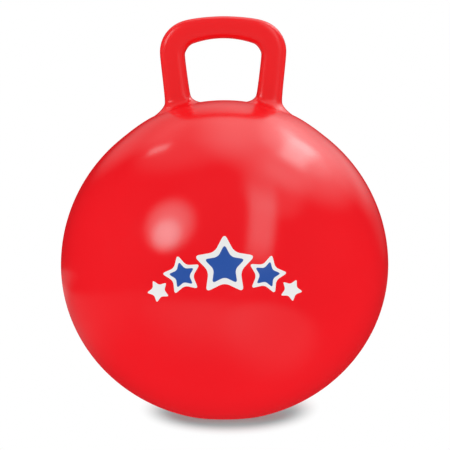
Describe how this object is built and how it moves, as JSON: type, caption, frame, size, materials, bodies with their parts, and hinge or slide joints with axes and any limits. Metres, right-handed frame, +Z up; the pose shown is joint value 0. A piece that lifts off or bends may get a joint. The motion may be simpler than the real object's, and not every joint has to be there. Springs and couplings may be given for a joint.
{
  "type": "hopper ball",
  "caption": "Inflated vinyl hopper ball, a little flattened under its own weight, with a hollow D-shaped grip handle on its crown and a push-in air plug in its back.",
  "frame": {"origin": "middle of the flat patch that the ball stands on", "axes": "+Z up through the crown; the handle's plane is XZ; the front faces -Y; the air valve looks along +Y"},
  "size_m": [0.457, 0.4568, 0.5582],
  "materials": {
    "red_vinyl": "glossy soft vinyl, smooth from the mould",
    "white_plug": "satin soft plastic"
  },
  "bodies": {
    "ball": {"ball_skin": "red_vinyl", "handle": "red_vinyl", "valve_seat": "red_vinyl"},
    "plug": {"valve_plug": "white_plug"}
  },
  "joints": [
    {"name": "plug_pull", "type": "slide", "parent": "ball", "child": "plug", "axis": [0, 1, 0], "range_m": [0, 0.045]}
  ]
}
